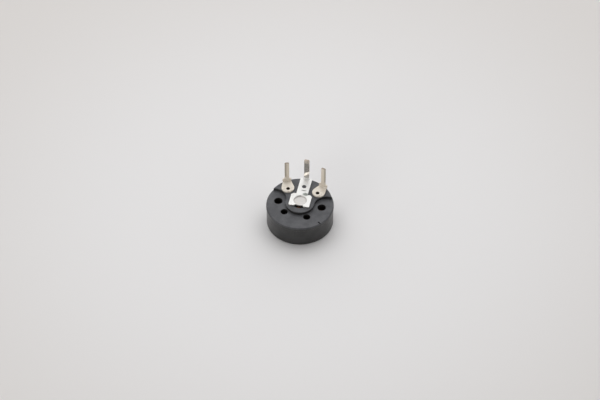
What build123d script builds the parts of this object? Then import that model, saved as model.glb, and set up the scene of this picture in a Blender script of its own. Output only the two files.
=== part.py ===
from build123d import *
from math import acos, atan2, cos, hypot, radians, sin
import os

# Rotary carbon potentiometer with rear terminals, lying on its adjusting face.
# Millimetres. The origin is on the rotor axis at the resting face, +Z runs up to
# the terminals, and +Y runs towards the side where their legs stand.
# Angles about the axis are in degrees from +Y, positive towards +X.

# Housing
body_diameter = 17.0
body_height = 5.9
back_wall = 1.9
skirt_wall = 0.95
lip_height = 0.9
lip_overhang = 0.08
rim_chamfer = 0.25
foot_chamfer = 0.15
gate_width = 0.35
gate_length = 0.9
gate_depth = 0.3
gate_angle = 131

# Raised terminal platform on the back of the housing
platform_height = 0.8
platform_inset = 0.3
platform_chamfer = 0.1
boss_radius = 3.65
boss_flank = 0.2
shelf_line = 3.3
well_radius = 2.1

# Holes through the back wall
large_hole_diameter = 2.15
large_hole_angles = (-90, 90)
small_hole_diameter = 1.85
small_hole_gap = 0.12
small_hole_angles = (-135, 147)

# End terminals and their hollow rivets
rivet_pitch_radius = 5.15
rivet_angle = 47.5
lug_turn = 18
lug_sheet = 0.42
lug_radius = 1.62
lug_offset = 0.52
lug_reach = 2.7
shoulder_width = 2.2
shoulder_height = 0.65
end_leg_width = 1.12
neck_radius = 0.38
rivet_bore_radius = 0.42
rivet_shank_radius = 0.6
rivet_clearance = 0.02
upper_head_radius = 1.05
lower_head_radius = 0.75
rivet_head = 0.12
rivet_flare = 0.08

# Wiper terminal
strip_sheet = 0.4
strip_width = 2.95
strip_inset = 0.4
strip_hole_diameter = 1.1
strip_hole_place = 5.1
crease_place = 3.7
crease_width = 0.8
crease_length = 0.25
crease_depth = 0.12
peg_clearance = 0.04
peg_recess = 0.08
head_width = 5.3
head_far = 2.45
head_near = 1.65
head_chamfer = 0.5
head_round = 0.3
notch_width = 2.2
notch_depth = 0.35
dish_place = 0.3
dish_radius = 1.7
dish_depth = 0.35
dish_flank = 0.25
wiper_leg_width = 1.3
wiper_leg_inset = 0.7
relief_width = 0.2
joggle_start = 1.1
joggle_rise = 0.75
joggle_step = 0.3
joggle_slope_share = 0.65

# Leg height above the sheet, bends and tips that all three terminals share
leg_height = 6.35
bend_radius = 0.15
tip_round = 0.3

# Resistive element
wafer_thickness = 0.7
wafer_clearance = 0.1
wafer_bore_radius = 3.0
track_height = 0.05
track_width = 1.5
end_pad_radius = 1.05

# Front cover
cover_recess = 0.15
cover_thickness = 0.7
cover_clearance = 0.03
snap_bead = 0.1

# Rotor
rotor_recess = 0.3
front_boss_step = 2.1
flange_inset = 1.15
flange_thickness = 0.7
running_clearance = 0.05
end_play = 0.07
vane_clearance = 0.25
vane_half_angle = 23
groove_depth = 0.4
slot_length = 5.0
slot_width = 1.0
slot_depth = 0.75
pointer_length = 0.8
pointer_width = 0.9
pointer_depth = 0.25
key_place = 2.75
key_width = 0.6
key_length = 1.2
key_clearance = 0.04

# Stop rib inside the housing
rib_half_angle = 36
rib_clearance = 0.15
rib_key_angle = 1.5

# Wiper spring
spring_sheet = 0.2
spring_ring_radius = 3.4
spring_bend = 0.24
arm_root_width = 1.8
arm_tip_width = 0.6
arm_slot = 0.15
knuckle_drop = 0.35
knuckle_run = 0.5
tongue_width = 1.0
tongue_reach = 0.7
contact_gap = 0.06

# All cuts run past the faces that they open by this much
overrun = 1.0

# Levels and radii worked out from the sizes above
lip_radius = body_diameter / 2
skirt_radius = lip_radius - lip_overhang
bore_radius = skirt_radius - skirt_wall
back_face_inside = body_height - back_wall
platform_top = body_height + platform_height
shelf_fillet = shelf_line - boss_flank
lug_top = platform_top + lug_sheet
strip_end = lip_radius - strip_inset
wiper_leg_face = lip_radius - wiper_leg_inset
dish_bottom = platform_top - dish_depth
large_hole_pitch_radius = (boss_radius + bore_radius) / 2
small_hole_pitch_radius = boss_radius + small_hole_gap + small_hole_diameter / 2
wafer_bottom = back_face_inside - wafer_thickness
track_face = wafer_bottom - track_height
track_radius = rivet_pitch_radius
cover_top = cover_recess + cover_thickness
flange_bottom = cover_top + end_play
flange_top = flange_bottom + flange_thickness
flange_radius = bore_radius - flange_inset
front_boss_radius = flange_radius - front_boss_step
vane_radius = bore_radius - vane_clearance
hub_radius = well_radius - running_clearance
hub_top = dish_bottom - contact_gap - spring_sheet
rib_radius = flange_radius + rib_clearance
groove_floor = hub_radius - groove_depth


def on_circle(radius, angle):
    """Point at an angle from +Y, positive towards +X."""
    return (radius * sin(radians(angle)), radius * cos(radians(angle)))


def turned(*points):
    """Solid of revolution about the rotor axis from (radius, height) points."""
    profile = make_face(Polyline(*points, close=True))
    return revolve(Plane.XZ * profile, Axis.Z)


def rod(radius, bottom, top, place=(0, 0)):
    """Round bar between two levels."""
    return Pos(*place, bottom) * extrude(Circle(radius), top - bottom)


def slab(outline, bottom, top):
    """Flat outline raised between two levels."""
    return Pos(0, 0, bottom) * extrude(outline, top - bottom)


def box_outline(width, near, far):
    """Rectangle centred on the Y axis between two places along it."""
    return Pos(0, (near + far) / 2) * Rectangle(width, far - near)


def arc_band(inner, outer, middle, half_angle):
    """Part of a flat ring, centred on an angle about the axis."""
    start = 90 - middle - half_angle
    inner_arc = CenterArc((0, 0), inner, start, 2 * half_angle)
    outer_arc = CenterArc((0, 0), outer, start, 2 * half_angle)
    sides = [Line(inner_arc @ 0, outer_arc @ 0), Line(inner_arc @ 1, outer_arc @ 1)]
    return make_face([inner_arc, outer_arc, *sides])


def nearest(shape, *places):
    """Corners of an outline that lie closest to the given places."""
    return [shape.vertices().sort_by_distance(place)[0] for place in places]


def both_sides(x, y):
    """A place and its mirror image across the Y axis."""
    return [(x, y), (-x, y)]


def platform_outline():
    """Keyhole shape: a round boss on the axis that opens into a shelf up to the rim."""
    tongue = box_outline(2 * boss_radius, 0, shelf_line)
    shelf = box_outline(body_diameter, shelf_line, body_diameter)
    outline = Circle(boss_radius) + tongue + shelf
    outline = fillet(nearest(outline, *both_sides(boss_radius, shelf_line)), shelf_fillet)
    return outline & Circle(lip_radius - platform_inset)


def back_holes():
    """Large pair beside the boss and small pair in front of it, through the back wall."""
    large = [on_circle(large_hole_pitch_radius, angle) for angle in large_hole_angles]
    small = [on_circle(small_hole_pitch_radius, angle) for angle in small_hole_angles]
    start = back_face_inside - overrun
    cuts = [rod(large_hole_diameter / 2, start, body_height + overrun, place) for place in large]
    return cuts + [rod(small_hole_diameter / 2, start, body_height + overrun, place) for place in small]


def rivet_places():
    """Left and right rivet axes."""
    return [on_circle(rivet_pitch_radius, angle) for angle in (-rivet_angle, rivet_angle)]


def snap_groove():
    """Shallow V groove in the skirt's bore that the cover's edge snaps into."""
    apex = bore_radius + snap_bead
    middle = cover_recess + cover_thickness / 2
    return turned(
        (0, cover_recess),
        (bore_radius, cover_recess),
        (apex, middle),
        (bore_radius, cover_top),
        (0, cover_top),
    )


def housing():
    """Moulded cup with its back wall up, the terminal platform and the stop rib."""
    lip_bottom = body_height - lip_height
    body = turned(
        (0, 0),
        (skirt_radius - foot_chamfer, 0),
        (skirt_radius, foot_chamfer),
        (skirt_radius, lip_bottom - lip_overhang),
        (lip_radius, lip_bottom),
        (lip_radius, body_height - rim_chamfer),
        (lip_radius - rim_chamfer, body_height),
        (0, body_height),
    )
    platform = slab(platform_outline(), body_height - rim_chamfer, platform_top)
    platform = chamfer(platform.faces().sort_by(Axis.Z)[-1].edges(), platform_chamfer)
    cavity = rod(bore_radius, -overrun, back_face_inside)
    rib_band = arc_band(rib_radius, bore_radius + skirt_wall / 2, 0, rib_half_angle)
    rib = slab(rib_band, cover_top, back_face_inside)
    gate_outline = Rot(0, 0, -gate_angle) * box_outline(gate_width, lip_radius - gate_length, body_diameter)
    gate = slab(gate_outline, body_height - gate_depth, body_height + overrun)
    body = body + platform - cavity + rib - gate
    body -= rod(well_radius, 0, platform_top + overrun)
    body -= back_holes()
    hole_radius = rivet_shank_radius + rivet_clearance
    body -= [rod(hole_radius, 0, platform_top + overrun, place) for place in rivet_places()]
    body -= snap_groove()
    peg = strip_hole_diameter / 2 - peg_clearance
    peg_top = platform_top + strip_sheet - peg_recess
    return body + rod(peg, body_height, peg_top, (0, strip_hole_place))


def bend(width, start, sheet):
    """Quarter turn of a sheet from lying flat, up to a place along Y, to standing upright."""
    reach = bend_radius + sheet
    ring = Pos(start, reach) * (Circle(reach) - Circle(bend_radius))
    corner = Pos(start + reach / 2, reach / 2) * Rectangle(reach, reach)
    return extrude(Plane.YZ * (ring & corner), width / 2, both=True)


def upright(outline, face, sheet):
    """Upright sheet of a given outline, its near face at a place along Y."""
    plane = Plane(origin=(0, face, 0), x_dir=(1, 0, 0), z_dir=(0, -1, 0))
    return extrude(plane * outline, -sheet)


def lug_outline():
    """Round lug that narrows along two tangents to the bend."""
    corner_x = shoulder_width / 2
    corner_y = lug_reach - bend_radius
    distance = hypot(corner_x, corner_y - lug_offset)
    angle = atan2(corner_y - lug_offset, corner_x) - acos(lug_radius / distance)
    side_x = lug_radius * cos(angle)
    side_y = lug_offset + lug_radius * sin(angle)
    neck = Polygon(
        (side_x, side_y), (corner_x, corner_y), (-corner_x, corner_y), (-side_x, side_y), align=None
    )
    return Pos(0, lug_offset) * Circle(lug_radius) + neck


def end_leg_outline():
    """Shoulders that narrow through two hollow corners into the leg."""
    base = lug_sheet + bend_radius
    shoulder_top = base + shoulder_height
    tip = lug_sheet + leg_height
    outline = box_outline(shoulder_width, base, shoulder_top)
    outline += box_outline(end_leg_width, base, tip)
    outline = fillet(nearest(outline, *both_sides(end_leg_width / 2, shoulder_top)), neck_radius)
    return fillet(nearest(outline, *both_sides(end_leg_width / 2, tip)), tip_round)


def end_terminal():
    """Right end terminal: riveted lug on the platform, bent up into its leg."""
    sheet = slab(lug_outline(), 0, lug_sheet)
    sheet -= rod(rivet_shank_radius + rivet_clearance, -overrun, lug_sheet + overrun)
    sheet += bend(shoulder_width, lug_reach - bend_radius, lug_sheet)
    sheet += upright(end_leg_outline(), lug_reach, lug_sheet)
    return Pos(*rivet_places()[1], platform_top) * Rot(0, 0, -lug_turn) * sheet


def rivet():
    """Hollow rivet through lug, housing and wafer, headed at both ends."""
    upper = lug_top + rivet_head
    lower = track_face - rivet_head
    return turned(
        (rivet_bore_radius, lower),
        (lower_head_radius, lower),
        (lower_head_radius, track_face),
        (rivet_shank_radius, track_face),
        (rivet_shank_radius, lug_top),
        (upper_head_radius, lug_top),
        (upper_head_radius, upper - rivet_flare),
        (upper_head_radius - rivet_flare, upper),
        (rivet_bore_radius + rivet_flare, upper),
        (rivet_bore_radius, upper - rivet_flare),
    )


def notch_outline():
    """Notch in the near end of the head."""
    return box_outline(notch_width, -head_near - overrun, notch_depth - head_near)


def strip_outline():
    """Wide notched head over the axis and the strip that runs out to the rim."""
    head = box_outline(head_width, -head_near, head_far)
    head = chamfer(nearest(head, *both_sides(head_width / 2, head_far)), head_chamfer)
    head = fillet(nearest(head, *both_sides(head_width / 2, -head_near)), head_round)
    gap_width = wiper_leg_width + 2 * relief_width
    leg_gap = box_outline(gap_width, wiper_leg_face - bend_radius, strip_end + overrun)
    hole = Pos(0, strip_hole_place) * Circle(strip_hole_diameter / 2)
    return head + box_outline(strip_width, 0, strip_end) - leg_gap - hole


def crease():
    """Short pressed line across the strip, between its hole and its head."""
    near = crease_place - crease_length / 2
    outline = box_outline(crease_width, near, near + crease_length)
    return slab(outline, strip_sheet - crease_depth, strip_sheet + overrun)


def dish(rim, top):
    """Flat-bottomed dimple with sloping sides up to its rim, and straight from there on."""
    floor = rim - dish_depth
    floor_radius = dish_radius - dish_flank
    cup = turned((0, floor), (floor_radius, floor), (dish_radius, rim), (dish_radius, top), (0, top))
    return Pos(0, dish_place) * cup


def wiper_leg():
    """Leg that stands at the strip's end, stepped outwards across a slanting crease."""
    base = strip_sheet + bend_radius
    tip = strip_sheet + leg_height
    step = wiper_leg_face + joggle_step
    bottom = strip_sheet + joggle_start
    top = bottom + joggle_rise
    side = Polygon(
        (wiper_leg_face, 0),
        (wiper_leg_face + strip_sheet, 0),
        (wiper_leg_face + strip_sheet, bottom),
        (step + strip_sheet, top),
        (step + strip_sheet, tip + wiper_leg_width),
        (step, tip + wiper_leg_width),
        (step, top),
        (wiper_leg_face, bottom),
        align=None,
    )
    leg = extrude(Plane.YZ * side, wiper_leg_width, dir=(1, 0, joggle_slope_share), both=True)
    front = box_outline(wiper_leg_width, base, tip)
    front = fillet(nearest(front, *both_sides(wiper_leg_width / 2, tip)), tip_round)
    return leg & upright(front, wiper_leg_face, joggle_step + strip_sheet)


def wiper_terminal():
    """Strip with a dished head that meets the wiper spring, bent up into the middle leg."""
    sheet = slab(strip_outline(), 0, strip_sheet) + dish(0, strip_sheet)
    sheet -= dish(strip_sheet, strip_sheet + overrun)
    sheet -= slab(notch_outline(), -dish_depth - overrun, strip_sheet + overrun)
    sheet -= crease()
    sheet += bend(wiper_leg_width, wiper_leg_face - bend_radius, strip_sheet)
    return Pos(0, 0, platform_top) * (sheet + wiper_leg())


def resistive_element():
    """Phenolic wafer, keyed to the stop rib, with the raised carbon track on its lower face."""
    outline = Circle(bore_radius - wafer_clearance) - Circle(wafer_bore_radius)
    outline -= arc_band(rib_radius - rib_clearance, bore_radius, 0, rib_half_angle + rib_key_angle)
    half_track = track_width / 2
    track = arc_band(track_radius - half_track, track_radius + half_track, 180, 180 - rivet_angle)
    pads = [Pos(*place) * Circle(end_pad_radius) for place in rivet_places()]
    print_outline = (track + pads) & outline
    wafer = slab(outline, wafer_bottom, back_face_inside)
    wafer += slab(print_outline, track_face, wafer_bottom)
    hole_radius = rivet_shank_radius + rivet_clearance
    holes = [rod(hole_radius, track_face - overrun, body_height, place) for place in rivet_places()]
    return wafer - holes


def front_cover():
    """Ring that snaps into the skirt and keeps the rotor in."""
    edge = bore_radius - cover_clearance
    opening = front_boss_radius + running_clearance
    return turned(
        (opening, cover_recess),
        (edge, cover_recess),
        (edge + snap_bead, cover_recess + cover_thickness / 2),
        (edge, cover_top),
        (opening, cover_top),
    )


def key_outlines(clearance):
    """Two keys on the rotor that carry the wiper spring round, or with a clearance their slots."""
    outline = Rectangle(key_width + 2 * clearance, key_length + 2 * clearance)
    return [Pos(*place) * outline for place in both_sides(key_place, 0)]


def rotor():
    """Flanged rotor with its bearing hub, stop vane and adjusting cross slot."""
    body = rod(front_boss_radius, rotor_recess, flange_top)
    body += rod(flange_radius, flange_bottom, flange_top)
    body += rod(hub_radius, flange_bottom, hub_top)
    vane = arc_band(front_boss_radius, vane_radius, 180, vane_half_angle)
    body += slab(vane, flange_bottom, flange_top)
    for outline in key_outlines(0):
        body += slab(outline, flange_bottom, flange_top + spring_sheet)
    groove = box_outline(tongue_width + 2 * running_clearance, -hub_radius - overrun, -groove_floor)
    body -= slab(groove, flange_top, hub_top + overrun)
    crest = Polygon(
        (-groove_floor, hub_top - spring_bend),
        (spring_bend - groove_floor, hub_top),
        (-groove_floor, hub_top),
        align=None,
    )
    body -= extrude(Plane.YZ * crest, tongue_width, both=True)
    for outline in (Rectangle(slot_width, slot_length), Rectangle(slot_length, slot_width)):
        body -= slab(outline, 0, rotor_recess + slot_depth)
    tip = -front_boss_radius + pointer_width / 2
    pointer = Polygon(
        (0, tip),
        (pointer_width / 2, tip + pointer_length),
        (-pointer_width / 2, tip + pointer_length),
        align=None,
    )
    return body - slab(pointer, 0, rotor_recess + pointer_depth)


def bent_strip(points, width):
    """Thin spring strip along a path in the YZ plane, centred on the YZ plane."""
    path = FilletPolyline(*points, radius=spring_bend)
    return extrude(Plane.YZ * trace(path, spring_sheet), width / 2, both=True)


def wiper_spring():
    """Flat ring keyed to the rotor, a forked arm up to the track and a tongue up to the dish."""
    middle = flange_top + spring_sheet / 2
    ring_inner = hub_radius + running_clearance
    ring = Circle(spring_ring_radius) - Circle(ring_inner)
    ring -= key_outlines(key_clearance)
    spring = slab(ring, flange_top, flange_top + spring_sheet)
    ring_middle = (ring_inner + spring_ring_radius) / 2
    knuckle = track_face - contact_gap - spring_sheet / 2
    arm_end = -track_radius - knuckle_run
    arm_path = [
        (-ring_middle, middle),
        (-spring_ring_radius, middle),
        (-track_radius, knuckle),
        (arm_end, knuckle - knuckle_drop),
    ]
    arm = bent_strip(arm_path, arm_root_width)
    root = arm_root_width / 2
    tip = arm_tip_width / 2
    plan = Polygon(
        (-root, -ring_middle),
        (-tip, -track_radius),
        (-tip, arm_end - overrun),
        (tip, arm_end - overrun),
        (tip, -track_radius),
        (root, -ring_middle),
        align=None,
    )
    plan -= box_outline(arm_slot, arm_end - overrun, -spring_ring_radius - knuckle_run)
    arm &= slab(plan, flange_bottom, body_height)
    tongue_top = hub_top + spring_sheet / 2
    tongue_face = groove_floor + spring_sheet / 2 + running_clearance
    tongue_path = [
        (-(ring_inner + ring_middle) / 2, middle),
        (-tongue_face, middle),
        (-tongue_face, tongue_top),
        (tongue_reach, tongue_top),
    ]
    return spring + arm + bent_strip(tongue_path, tongue_width)


left_place, right_place = rivet_places()
right_terminal = end_terminal()
parts = {
    "housing": housing(),
    "front_cover": front_cover(),
    "rotor": rotor(),
    "wiper_spring": wiper_spring(),
    "resistive_element": resistive_element(),
    "left_terminal": mirror(right_terminal, Plane.YZ),
    "right_terminal": right_terminal,
    "left_rivet": Pos(*left_place) * rivet(),
    "right_rivet": Pos(*right_place) * rivet(),
    "wiper_terminal": wiper_terminal(),
}

os.makedirs("parts", exist_ok=True)
for name, piece in parts.items():
    export_step(piece, f"parts/{name}.step")
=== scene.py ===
import math

import bpy
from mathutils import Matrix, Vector


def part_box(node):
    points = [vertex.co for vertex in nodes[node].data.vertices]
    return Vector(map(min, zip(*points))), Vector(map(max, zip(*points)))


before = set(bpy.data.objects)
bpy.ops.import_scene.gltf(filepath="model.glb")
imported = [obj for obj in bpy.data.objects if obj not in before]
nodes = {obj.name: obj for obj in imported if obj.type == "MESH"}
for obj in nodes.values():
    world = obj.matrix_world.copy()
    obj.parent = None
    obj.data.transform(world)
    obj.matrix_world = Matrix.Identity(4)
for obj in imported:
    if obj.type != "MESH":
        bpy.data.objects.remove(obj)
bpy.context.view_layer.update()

mm = 0.001
print("frame loaded:", len(nodes), "nodes")


# small helpers for shader trees, with places in millimetres of the part
# in the looks below, a noise is (scale, detail, roughness, distortion), a range goes (from, to),
# a share is how much of a thing shows, and a bump is (depth, strength)

class Tree:
    edgeSamples = 6
    edgeRange = (0.985, 0.8)  # how well the rounded normal agrees with the plain one, from flat to edge

    def __init__(self, name):
        self.mat = bpy.data.materials.new(name)
        self.mat.use_nodes = True
        self.nodes = self.mat.node_tree.nodes
        self.links = self.mat.node_tree.links
        self.bsdf = self.nodes["Principled BSDF"]

    def add(self, kind, **settings):
        node = self.nodes.new(kind)
        for key, value in settings.items():
            setattr(node, key, value)
        return node

    def plug(self, source, target):
        self.links.new(source, target)

    def feed(self, socket, value):
        # a socket is linked, anything else is typed in
        if isinstance(value, bpy.types.NodeSocket):
            self.links.new(value, socket)
        else:
            socket.default_value = value

    def math(self, operation, a, b=0.0):
        node = self.add("ShaderNodeMath", operation=operation)
        self.feed(node.inputs[0], a)
        self.feed(node.inputs[1], b)
        return node.outputs[0]

    def plus(self, a, b):
        return self.math("ADD", a, b)

    def minus(self, a, b):
        return self.math("SUBTRACT", a, b)

    def times(self, a, b):
        return self.math("MULTIPLY", a, b)

    def mix(self, factor, a, b):
        # sockets 6 and 7 of the mix node are its colours
        node = self.add("ShaderNodeMix", data_type="RGBA")
        self.feed(node.inputs["Factor"], factor)
        self.feed(node.inputs[6], a)
        self.feed(node.inputs[7], b)
        return node.outputs[2]

    def lay(self, color, top, factor, share):
        return self.mix(self.times(factor, share), color, top)

    def ramp(self, value, low, high, start=0.0, end=1.0):
        node = self.add("ShaderNodeMapRange", interpolation_type="SMOOTHSTEP")
        for socket, number in zip(node.inputs[:5], (value, low, high, start, end)):
            self.feed(socket, number)
        return node.outputs[0]

    def vector(self, operation, a, b):
        node = self.add("ShaderNodeVectorMath", operation=operation)
        self.feed(node.inputs[0], a)
        self.feed(node.inputs[1], b)
        return node.outputs

    def millimetres(self):
        place = self.add("ShaderNodeTexCoord").outputs["Object"]
        return self.stretch(place, (1 / mm, 1 / mm, 1 / mm))

    def stretch(self, place, factors):
        return self.vector("MULTIPLY", place, factors)["Vector"]

    def noise(self, place, scale, detail=3.0, roughness=0.55, distortion=0.0):
        node = self.add("ShaderNodeTexNoise")
        self.plug(place, node.inputs["Vector"])
        node.inputs["Scale"].default_value = scale
        node.inputs["Detail"].default_value = detail
        node.inputs["Roughness"].default_value = roughness
        node.inputs["Distortion"].default_value = distortion
        return node.outputs["Fac"]

    def patches(self, place, noise, span, start=0.0, end=1.0):
        return self.ramp(self.noise(place, *noise), *span, start, end)

    def split(self, place):
        node = self.add("ShaderNodeSeparateXYZ")
        self.plug(place, node.inputs[0])
        return node.outputs

    def facing(self, direction):
        # how squarely the surface lies across a direction of the part, 0 to 1
        own = self.add("ShaderNodeTexCoord").outputs["Normal"]
        return self.math("ABSOLUTE", self.vector("DOT_PRODUCT", own, direction)["Value"])

    def axisDistance(self, place):
        node = self.add("ShaderNodeVectorMath", operation="LENGTH")
        self.plug(self.stretch(place, (1, 1, 0)), node.inputs[0])
        return node.outputs["Value"]

    def softNormal(self, radius):
        # edges shaded as if they were rounded
        node = self.add("ShaderNodeBevel", samples=self.edgeSamples)
        node.inputs["Radius"].default_value = radius
        return node.outputs[0]

    def edges(self, radius):
        # 0 on flats, towards 1 on sharp edges
        plain = self.add("ShaderNodeNewGeometry").outputs["Normal"]
        agreement = self.vector("DOT_PRODUCT", self.softNormal(radius), plain)["Value"]
        return self.ramp(agreement, *self.edgeRange)

    def bump(self, height, depth, strength=1.0, before=None):
        node = self.add("ShaderNodeBump")
        node.inputs["Strength"].default_value = strength
        node.inputs["Distance"].default_value = depth
        self.plug(height, node.inputs["Height"])
        if before is not None:
            self.plug(before, node.inputs["Normal"])
        return node.outputs["Normal"]

    def shade(self, color, roughness, normal, metallic=0.0):
        self.feed(self.bsdf.inputs["Base Color"], color)
        self.feed(self.bsdf.inputs["Roughness"], roughness)
        self.feed(self.bsdf.inputs["Metallic"], metallic)
        self.plug(normal, self.bsdf.inputs["Normal"])
        return self.mat


def paint(nodeName, material):
    mesh = nodes[nodeName].data
    mesh.materials.clear()
    mesh.materials.append(material)


# rounded edges: the sharp CAD edges get a small bevel, so that they catch the light

edgeWidths = {
    "front_cover": 0.06 * mm,
    "rotor": 0.06 * mm,
    "wiper_terminal": 0.05 * mm,
    "left_terminal": 0.05 * mm,
    "right_terminal": 0.05 * mm,
    "left_rivet": 0.03 * mm,
    "right_rivet": 0.03 * mm,
}
rounding = {"weld": 0.001 * mm, "flatAngle": 0.6, "sharpAngle": 32, "segments": 2, "weight": 80}


def roundEdges(nodeName, width, plan):
    piece = nodes[nodeName]
    weld = piece.modifiers.new("weld", "WELD")
    weld.merge_threshold = plan["weld"]
    flatten = piece.modifiers.new("flatten", "DECIMATE")
    flatten.decimate_type = "DISSOLVE"
    flatten.angle_limit = math.radians(plan["flatAngle"])
    bevel = piece.modifiers.new("roundEdges", "BEVEL")
    bevel.width = width
    bevel.segments = plan["segments"]
    bevel.limit_method = "ANGLE"
    bevel.angle_limit = math.radians(plan["sharpAngle"])
    bevel.use_clamp_overlap = False
    bevel.miter_outer = "MITER_ARC"
    shade = piece.modifiers.new("evenShade", "WEIGHTED_NORMAL")
    shade.weight = plan["weight"]
    shade.keep_sharp = False


for name, width in edgeWidths.items():
    roundEdges(name, width, rounding)
print("edges rounded on", len(edgeWidths), "nodes")


# moulded black plastic: filler speckle, faint turned rings from the mould, rubbed edges, and painted
# light: a lighter, faintly blue top face and darker side walls

mouldedLook = {
    # the top face's colours are painted lighter and faintly blue, as light from the cool panel above
    "dark": (0.064, 0.065, 0.072, 1),
    "pale": (0.098, 0.100, 0.108, 1),
    "shadedSideDark": (0.022, 0.022, 0.022, 1),  # the drawn side walls are smoother; their darker colour is painted shade
    "shadedSidePale": (0.035, 0.035, 0.035, 1),
    "flatRange": (0.35, 0.85),
    "cloud": (0.45, 4, 0.6),
    "grain": (9.0, 3, 0.6),
    "grainShare": 0.4,
    "grainBump": (0.006 * mm, 0.8),
    "toneRange": (0.40, 0.60),
    "speck": (0.14, 0.14, 0.145, 1),
    "specks": (26.0, 1, 0.4),
    "speckRange": (0.70, 0.78),
    "speckShare": 0.5,
    "rubbed": (0.13, 0.13, 0.135, 1),
    "rubs": (2.2, 4),
    "rubRange": (0.38, 0.66),
    "rubShare": 0.75,
    "edgeWidth": 0.10 * mm,
    "polish": (1.1, 5, 0.65),
    "polishRange": (0.3, 0.7),
    "roughLow": 0.40,
    "roughHigh": 0.54,
    "sideSmooth": 0.72,
    "gloss": 0.45,
    "ringPitch": 0.16,
    "ringBump": (0.004 * mm, 0.5),
    "wobble": (0.8, 2),
    "wobbleShare": 1.2,  # of the pitch
}
coverLook = dict(mouldedLook, dark=(0.048, 0.048, 0.050, 1), pale=(0.074, 0.074, 0.077, 1), ringPitch=0.22)
rotorLook = dict(mouldedLook, dark=(0.030, 0.030, 0.032, 1), pale=(0.050, 0.050, 0.053, 1),
                 roughLow=0.32, roughHigh=0.46, ringPitch=0.12)


def mouldedPlastic(name, look):
    t = Tree(name)
    place = t.millimetres()
    cloud = t.noise(place, *look["cloud"])
    grain = t.noise(place, *look["grain"])
    tone = t.plus(t.times(cloud, 1 - look["grainShare"]), t.times(grain, look["grainShare"]))
    tone = t.ramp(tone, *look["toneRange"])
    # painted light: the colour changes with the way the surface faces, lighter on the top face and darker
    # on the side walls as shade
    flat = t.ramp(t.facing((0, 0, 1)), *look["flatRange"])
    side = t.mix(tone, look["shadedSideDark"], look["shadedSidePale"])
    color = t.mix(flat, side, t.mix(tone, look["dark"], look["pale"]))
    specks = t.patches(place, look["specks"], look["speckRange"])
    color = t.lay(color, look["speck"], specks, look["speckShare"])
    rub = t.times(t.edges(look["edgeWidth"]), t.patches(place, look["rubs"], look["rubRange"]))
    color = t.lay(color, look["rubbed"], rub, look["rubShare"])
    rough = t.patches(place, look["polish"], look["polishRange"], look["roughHigh"], look["roughLow"])
    rough = t.times(rough, t.ramp(flat, 0.0, 1.0, look["sideSmooth"], 1.0))
    wobble = t.times(t.noise(place, *look["wobble"]), look["wobbleShare"] * look["ringPitch"])
    rings = t.plus(t.axisDistance(place), wobble)
    rings = t.math("SINE", t.times(rings, 2 * math.pi / look["ringPitch"]))
    normal = t.bump(rings, *look["ringBump"], t.softNormal(look["edgeWidth"]))
    normal = t.bump(grain, *look["grainBump"], normal)
    t.bsdf.inputs["Specular IOR Level"].default_value = look["gloss"]
    return t.shade(color, rough, normal)


paint("housing", mouldedPlastic("housingMoulding", mouldedLook))
paint("front_cover", mouldedPlastic("coverMoulding", coverLook))
paint("rotor", mouldedPlastic("rotorMoulding", rotorLook))
print("moulded pieces painted")


# dull tin plate on stamped brass: warm grey, a little blotchy, brown where the legs were sheared

lugTurn = 18  # degrees that each end terminal is turned about the vertical
shearedSide = (0.75, 0.35)  # how much a surface faces as the sheet does, from face to sheared side

dullTinLook = {
    "tin": (0.83, 0.775, 0.69, 1),
    "warm": (0.75, 0.675, 0.57, 1),
    "blotch": (0.9, 5, 0.6, 0.4),
    "blotchRange": (0.40, 0.72),
    "rim": (0.86, 0.83, 0.76, 1),
    "rimShare": 0.5,
    "edgeWidth": 0.05 * mm,
    # the leg's colour is painted paler than the lug's, as light on its front
    "leg": (0.94, 0.86, 0.725, 1),
    "legLightShare": 0.7,
    "legRange": (8.3, 9.3),  # mm above the table, where the lug has turned into the leg
    "legPlace": (4.7, 6.25),
    # painted shade on the outer half of the leg
    "outer": (0.30, 0.26, 0.20, 1),
    "outerShadeShare": 0.8,
    "tarnishAndShade": (-0.05, 0.42),  # mm outwards from the middle of the leg
    "sheared": (0.26, 0.20, 0.14, 1),
    "shearedShare": 0.9,
    "shearedRange": (8.0, 8.6),
    "bore": (0.10, 0.075, 0.055, 1),
    "boreRange": (0.52, 0.44),  # mm from the rivet's axis
    "polish": (2.6, 4),
    "polishRange": (0.3, 0.7),
    "roughLow": 0.36,
    "roughHigh": 0.52,
    "drawn": (1.0, 2),
    "drawnStretch": (22.0, 22.0, 1.2),
    "drawnBump": (0.004 * mm, 0.6),
    "fine": (14.0, 3, 0.6),
    "fineBump": (0.004 * mm, 0.7),
    "metal": 0.30,
    "metalLeg": 0.08,
}
leftTinLook = dict(dullTinLook, outer=(0.25, 0.215, 0.165, 1), tarnishAndShade=(-0.30, 0.42))


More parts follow.
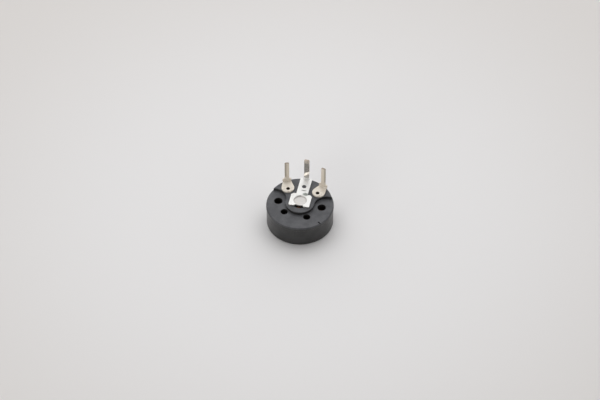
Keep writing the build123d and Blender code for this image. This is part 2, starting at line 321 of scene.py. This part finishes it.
def dullTin(name, look, sheetTurn=None, rivetPlace=None):
    t = Tree(name)
    place = t.millimetres()
    color = t.mix(t.patches(place, look["blotch"], look["blotchRange"]), look["tin"], look["warm"])
    color = t.lay(color, look["rim"], t.edges(look["edgeWidth"]), look["rimShare"])
    metal = look["metal"]
    if sheetTurn is not None:
        # the leg is yellower and painted paler as light on its front, painted darker on its outer half as
        # shade, and brown on its sheared sides
        across = (math.sin(math.radians(sheetTurn)), math.cos(math.radians(sheetTurn)), 0)
        axes = t.split(place)
        leg = t.ramp(axes["Z"], *look["legRange"])
        color = t.lay(color, look["leg"], leg, look["legLightShare"])
        metal = t.plus(metal, t.times(leg, look["metalLeg"] - metal))
        legX, legY = look["legPlace"]
        side = 1 if sheetTurn < 0 else -1
        outward = t.plus(t.times(t.minus(axes["X"], side * legX), side * across[1]),
                         t.times(t.minus(axes["Y"], legY), -side * across[0]))
        tarnishAndShade = t.times(t.ramp(outward, *look["tarnishAndShade"]), leg)
        color = t.lay(color, look["outer"], tarnishAndShade, look["outerShadeShare"])
        sheared = t.times(t.ramp(t.facing(across), *shearedSide), t.ramp(axes["Z"], *look["shearedRange"]))
        color = t.lay(color, look["sheared"], sheared, look["shearedShare"])
    if rivetPlace is not None:
        # the bore is painted dark, as the shade inside it
        fromRivet = t.vector("SUBTRACT", place, rivetPlace)["Vector"]
        color = t.mix(t.ramp(t.axisDistance(fromRivet), *look["boreRange"]), color, look["bore"])
    rough = t.patches(place, look["polish"], look["polishRange"], look["roughLow"], look["roughHigh"])
    drawn = t.noise(t.stretch(place, look["drawnStretch"]), *look["drawn"])
    normal = t.bump(drawn, *look["drawnBump"])
    normal = t.bump(t.noise(place, *look["fine"]), *look["fineBump"], normal)
    return t.shade(color, rough, normal, metal)


paint("left_terminal", dullTin("leftTinPlate", leftTinLook, lugTurn))
paint("right_terminal", dullTin("rightTinPlate", dullTinLook, -lugTurn))
for name in ("left_rivet", "right_rivet"):
    low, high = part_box(name)
    paint(name, dullTin(name + "TinPlate", dullTinLook, rivetPlace=(low + high) / 2 / mm))
print("end terminals and rivets painted")


# bright tin plate: satin sheen, fine rolling lines along the strip, smudged patches

brightTinLook = {
    "tin": (0.88, 0.875, 0.855, 1),
    "smudge": (0.80, 0.78, 0.74, 1),
    "smudges": (0.7, 5, 0.6, 0.6),
    "smudgeRange": (0.50, 0.72),
    "smudgeShare": 0.5,
    "sheet": 0.4,
    "dishDepth": 0.35,
    "pressed": (0.70, 0.68, 0.655, 1),
    "pressedRange": (0.30, 0.06),  # mm above the dish's floor
    "flankShade": (0.34, 0.32, 0.30, 1),
    "flankShadeShare": 0.3,
    "flankFoot": (0.02, 0.10),  # mm above the dish's floor
    "flankHead": (-0.02, -0.10),  # mm above the strip, as the next two are
    "stripRange": (0.2, 0.1),
    "legRange": (0.2, 0.9),
    # painted reflection: the leg mirrored in the strip, as a grey patch
    "reflectionPatch": (0.25, 0.27, 0.245, 1),
    "reflectionPlace": (0.88, 2.5),  # mm, beside the middle of the strip where the head begins
    "reflectionSize": (0.85, 0.62),
    "reflectionEdge": (3.0, 3),
    "reflectionEdgeShare": 0.5,
    "reflectionRange": (1.35, 0.75),
    "reflectionShare": 0.95,
    "creaseShade": (0.30, 0.29, 0.27, 1),
    "creaseShadePlace": (0.35, 3.72),  # mm, in the crease and a little beside it
    "creaseShadeSize": (0.62, 0.17),
    "creaseShadeRange": (1.15, 0.60),
    "creaseShadeShare": 0.85,
    "legDarkReflection": (0.49, 0.468, 0.44, 1),
    "paintedGlint": (0.97, 0.92, 0.84, 1),
    "glintRise": 1.70,  # mm above the strip, where the leg is stepped
    "glintSlope": 0.75,
    "glintRange": (0.60, 0.20),
    "stepBump": (0.18 * mm, 1.0),
    "stepRange": (0.4, -0.4),
    "legTip": (0.76, 0.69, 0.605, 1),
    "tipRange": (-1.3, -0.8),  # mm from the leg's end
    "sheared": (0.42, 0.33, 0.26, 1),
    "shearedShare": 0.9,
    "shearedRange": (1.0, 1.6),  # mm above the dish's floor
    "polish": (1.6, 5, 0.6),
    "polishRange": (0.32, 0.70),
    "roughLow": 0.44,
    "roughHigh": 0.54,
    "roughPressed": 0.60,
    "roughLeg": 0.36,
    "roughSheared": 0.25,  # added there
    "rolled": (1.0, 3),
    "rolledStretch": (30.0, 0.7, 1.2),
    "rolledBump": (0.003 * mm, 0.6),
    "dents": (1.3, 2),
    "dentBump": (0.03 * mm, 0.35),
    "metal": 0.75,
    "metalLeg": 0.95,
    "metalTip": 0.35,
}


def brightTin(name, look):
    t = Tree(name)
    place = t.millimetres()
    axes = t.split(place)
    low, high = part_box("wiper_terminal")
    dishFloor = low.z / mm + look["sheet"]
    strip = dishFloor + look["dishDepth"]
    legEnd = high.z / mm

    def above(level, span):
        return t.ramp(axes["Z"], level + span[0], level + span[1])

    def spread(middle, size):
        x, y = [t.math("DIVIDE", t.minus(axes[n], middle[n]), size[n]) for n in (0, 1)]
        return t.math("SQRT", t.plus(t.times(x, x), t.times(y, y)))

    smudge = t.patches(place, look["smudges"], look["smudgeRange"])
    color = t.lay(look["tin"], look["smudge"], smudge, look["smudgeShare"])
    rough = t.patches(place, look["polish"], look["polishRange"], look["roughLow"], look["roughHigh"])

    # the pressing tool left the dish dull
    pressed = above(dishFloor, look["pressedRange"])
    color = t.mix(pressed, color, look["pressed"])
    # painted shade: a darker line on the sloping flank of the dish
    flank = t.times(above(dishFloor, look["flankFoot"]), above(strip, look["flankHead"]))
    color = t.lay(color, look["flankShade"], flank, look["flankShadeShare"])
    rough = t.plus(rough, t.times(pressed, look["roughPressed"] - look["roughHigh"]))

    # painted reflection of the leg as a grey patch on the strip, and painted shade in its crease
    onStrip = above(strip, look["stripRange"])
    ragged = t.times(t.noise(place, *look["reflectionEdge"]), look["reflectionEdgeShare"])
    ragged = t.plus(spread(look["reflectionPlace"], look["reflectionSize"]), ragged)
    reflectionPatch = t.times(t.ramp(ragged, *look["reflectionRange"]), onStrip)
    color = t.lay(color, look["reflectionPatch"], reflectionPatch, look["reflectionShare"])
    # painted shade in the crease
    creaseShade = t.times(t.ramp(spread(look["creaseShadePlace"], look["creaseShadeSize"]), *look["creaseShadeRange"]), onStrip)
    color = t.lay(color, look["creaseShade"], creaseShade, look["creaseShadeShare"])

    # the leg is painted greyer than the strip, as a painted dark reflection
    leg = above(strip, look["legRange"])
    color = t.mix(leg, color, look["legDarkReflection"])
    rough = t.plus(rough, t.times(leg, look["roughLeg"] - look["roughHigh"]))
    metal = t.plus(look["metal"], t.times(leg, look["metalLeg"] - look["metal"]))

    # painted glint on the slanting step of the leg
    along = t.minus(axes["Z"], t.times(axes["X"], look["glintSlope"]))
    along = t.minus(along, strip + look["glintRise"])
    glint = t.times(t.ramp(t.math("ABSOLUTE", along), *look["glintRange"]), leg)
    color = t.mix(glint, color, look["paintedGlint"])

    # the tip is dull, and the sheared sides are bare metal
    tip = above(legEnd, look["tipRange"])
    color = t.mix(tip, color, look["legTip"])
    metal = t.plus(metal, t.times(tip, look["metalTip"] - look["metalLeg"]))
    sheared = t.times(t.ramp(t.facing((0, 1, 0)), *shearedSide), above(dishFloor, look["shearedRange"]))
    color = t.lay(color, look["sheared"], sheared, look["shearedShare"])
    rough = t.plus(rough, t.times(sheared, look["roughSheared"]))

    rolled = t.noise(t.stretch(place, look["rolledStretch"]), *look["rolled"])
    normal = t.bump(rolled, *look["rolledBump"])
    normal = t.bump(t.noise(place, *look["dents"]), *look["dentBump"], normal)
    normal = t.bump(t.ramp(along, *look["stepRange"]), *look["stepBump"], normal)
    return t.shade(color, rough, normal, metal)


paint("wiper_terminal", brightTin("brightTinPlate", brightTinLook))
print("middle terminal painted")


# rolled bronze of the wiper spring, with tarnished patches, all painted dark as the shade of the well it
# lies in

bronzeLook = {
    "shadeDarkBronze": (0.15, 0.072, 0.042, 1),
    "tarnishAndShade": (0.05, 0.025, 0.018, 1),
    "tarnishes": (1.2, 5, 0.6),
    "tarnishRange": (0.45, 0.72),
    "polish": (3.0, 3),
    "polishRange": (0.3, 0.7),
    "roughLow": 0.34,
    "roughHigh": 0.50,
    "rolled": (1.0, 2),
    "rolledStretch": (24.0, 1.0, 1.0),
    "rolledBump": (0.003 * mm, 0.6),
    "metal": 1.0,
}


def rolledBronze(name, look):
    t = Tree(name)
    place = t.millimetres()
    tarnishAndShade = t.patches(place, look["tarnishes"], look["tarnishRange"])
    color = t.mix(tarnishAndShade, look["shadeDarkBronze"], look["tarnishAndShade"])
    rough = t.patches(place, look["polish"], look["polishRange"], look["roughLow"], look["roughHigh"])
    rolled = t.noise(t.stretch(place, look["rolledStretch"]), *look["rolled"])
    return t.shade(color, rough, t.bump(rolled, *look["rolledBump"]), look["metal"])


paint("wiper_spring", rolledBronze("rolledBronze", bronzeLook))


# phenolic wafer: brown paper laminate, black carbon band and silvered ends on the lower face

waferLook = {
    "light": (0.095, 0.050, 0.026, 1),
    "dark": (0.045, 0.024, 0.013, 1),
    "fibre": (1.0, 5, 0.65),
    "fibreStretch": (6.0, 1.2, 6.0),
    "fibreRange": (0.35, 0.65),
    "fibreBump": (0.006 * mm, 0.6),
    "carbon": (0.012, 0.012, 0.013, 1),
    "trackBand": (4.1, 6.2),  # mm from the axis
    "trackHeight": 0.04,
    "silver": (0.62, 0.62, 0.60, 1),
    "silverEdge": 3.1,  # mm behind the axis
    "polish": (4.0, 4),
    "polishRange": (0.3, 0.7),
    "roughLow": 0.38,
    "roughHigh": 0.60,
}


def phenolicWafer(name, look):
    t = Tree(name)
    place = t.millimetres()
    axes = t.split(place)
    fibre = t.noise(t.stretch(place, look["fibreStretch"]), *look["fibre"])
    color = t.mix(t.ramp(fibre, *look["fibreRange"]), look["dark"], look["light"])
    radius = t.axisDistance(place)
    inner, outer = look["trackBand"]
    inBand = t.times(t.math("GREATER_THAN", radius, inner), t.math("LESS_THAN", radius, outer))
    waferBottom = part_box("resistive_element")[0].z / mm
    raised = t.times(t.math("LESS_THAN", axes["Z"], waferBottom + look["trackHeight"]), inBand)
    color = t.mix(raised, color, look["carbon"])
    silvered = t.times(raised, t.math("GREATER_THAN", axes["Y"], look["silverEdge"]))
    color = t.mix(silvered, color, look["silver"])
    rough = t.patches(place, look["polish"], look["polishRange"], look["roughLow"], look["roughHigh"])
    return t.shade(color, rough, t.bump(fibre, *look["fibreBump"]))


paint("resistive_element", phenolicWafer("phenolicWafer", waferLook))
print("spring and wafer painted")


# pale table, painted darker and warmer away from the part as shade

tableLook = {
    "middle": (0.82, 0.81, 0.81, 1),
    "far": (0.71, 0.683, 0.662, 1),
    "shadeFadeRange": (30.0, 125.0),  # mm from the part
    "half": 3.0,
    "rough": 0.65,
    "gloss": 0.2,
    "grain": (1.5, 4),
    "grainBump": (0.02 * mm, 0.3),
}


def makeTable(look):
    half = look["half"]
    corners = [(-half, -half, 0), (half, -half, 0), (half, half, 0), (-half, half, 0)]
    mesh = bpy.data.meshes.new("table")
    mesh.from_pydata(corners, [], [(0, 1, 2, 3)])
    table = bpy.data.objects.new("table", mesh)
    bpy.context.scene.collection.objects.link(table)
    t = Tree("paleTable")
    place = t.millimetres()
    # painted shade: the table darkens with distance from the part
    color = t.mix(t.ramp(t.axisDistance(place), *look["shadeFadeRange"]), look["middle"], look["far"])
    normal = t.bump(t.noise(place, *look["grain"]), *look["grainBump"])
    mesh.materials.append(t.shade(color, look["rough"], normal))
    t.bsdf.inputs["Specular IOR Level"].default_value = look["gloss"]


makeTable(tableLook)


# soft studio light: a wide panel above and behind, weak ones at the right and low in front, pale surround

lightPlan = {
    "panel": {"place": (-0.07, 0.30, 0.46), "size": 1.10, "power": 4.4, "tint": (0.985, 0.99, 1.0)},
    "right": {"place": (0.50, -0.15, 0.30), "size": 0.40, "power": 0.12, "tint": (1.0, 0.985, 0.96)},
    "front": {"place": (-0.24, -0.56, 0.12), "size": 0.30, "power": 1.15, "tint": (1.0, 0.975, 0.94)},
}
surround = {
    "tint": (1.0, 0.99, 0.98, 1),
    "light": 0.50,
    "seen": 0.68,
    "cameraSide": {"towards": (0.10, -0.68, 0.73), "start": 0.50, "full": 0.90, "level": 0.0},
    "behindPanel": {"towards": (-0.13, 0.54, 0.83), "start": 0.66, "full": 0.80, "level": 0.12},
}


def addPanel(name, plan):
    data = bpy.data.lights.new(name, "AREA")
    data.shape = "SQUARE"
    data.size = plan["size"]
    data.energy = plan["power"]
    data.color = plan["tint"]
    lamp = bpy.data.objects.new(name, data)
    lamp.location = plan["place"]
    lamp.rotation_euler = (-Vector(plan["place"])).to_track_quat("-Z", "Y").to_euler()
    bpy.context.scene.collection.objects.link(lamp)


def setSurround(levels):
    world = bpy.data.worlds.new("surround")
    world.use_nodes = True
    bpy.context.scene.world = world
    links = world.node_tree.links
    add = world.node_tree.nodes.new
    background = world.node_tree.nodes["Background"]
    background.inputs["Color"].default_value = levels["tint"]
    way = add("ShaderNodeTexCoord")

    def combine(operation, a, b):
        node = add("ShaderNodeMath")
        node.operation = operation
        for socket, value in zip(node.inputs, (a, b)):
            if isinstance(value, float):
                socket.default_value = value
            else:
                links.new(value, socket)
        return node.outputs[0]

    def dimZone(zone):
        toward = add("ShaderNodeVectorMath")
        toward.operation = "DOT_PRODUCT"
        links.new(way.outputs["Generated"], toward.inputs[0])
        toward.inputs[1].default_value = zone["towards"]
        fall = add("ShaderNodeMapRange")
        fall.interpolation_type = "SMOOTHSTEP"
        links.new(toward.outputs["Value"], fall.inputs[0])
        for socket, number in zip(fall.inputs[1:5], (zone["start"], zone["full"], 1.0, zone["level"])):
            socket.default_value = number
        return fall.outputs[0]

    path = add("ShaderNodeLightPath")
    seen = combine("MAXIMUM", path.outputs["Is Camera Ray"], path.outputs["Is Glossy Ray"])
    seen = combine("MAXIMUM", seen, path.outputs["Is Transmission Ray"])
    strength = add("ShaderNodeMix")
    links.new(seen, strength.inputs[0])
    strength.inputs[2].default_value = levels["light"]
    # the panel hides what is behind it
    links.new(combine("MULTIPLY", levels["seen"], dimZone(levels["behindPanel"])), strength.inputs[3])
    dimmed = combine("MULTIPLY", strength.outputs[0], dimZone(levels["cameraSide"]))
    links.new(dimmed, background.inputs["Strength"])


for name, plan in lightPlan.items():
    addPanel(name, plan)
setSurround(surround)
print("table and lights set")


# camera at the photo's angle, with a long lens and the aim point set by the framing

shot = {
    "azimuth": 12.0,
    "elevation": 46.9,
    "distance": 0.570,
    "aimUp": 5.09 * mm,
    "aimRight": 0.01 * mm,
    "lens": 135.0,
    "sensor": 36.0,
    "clip": (0.01, 10.0),
}


def addCamera(plan):
    turn = math.radians(plan["azimuth"])
    rise = math.radians(plan["elevation"])
    back = Vector((math.sin(turn) * math.cos(rise), -math.cos(turn) * math.cos(rise), math.sin(rise)))
    right = Vector((math.cos(turn), math.sin(turn), 0))
    aim = back.cross(right) * plan["aimUp"] + right * plan["aimRight"]
    data = bpy.data.cameras.new("camera")
    data.lens = plan["lens"]
    data.sensor_width = plan["sensor"]
    data.clip_start, data.clip_end = plan["clip"]
    camera = bpy.data.objects.new("camera", data)
    camera.location = aim + back * plan["distance"]
    camera.rotation_euler = (-back).to_track_quat("-Z", "Y").to_euler()
    bpy.context.scene.collection.objects.link(camera)
    bpy.context.scene.camera = camera


addCamera(shot)
bpy.context.scene.view_settings.view_transform = "Standard"
print("camera set")
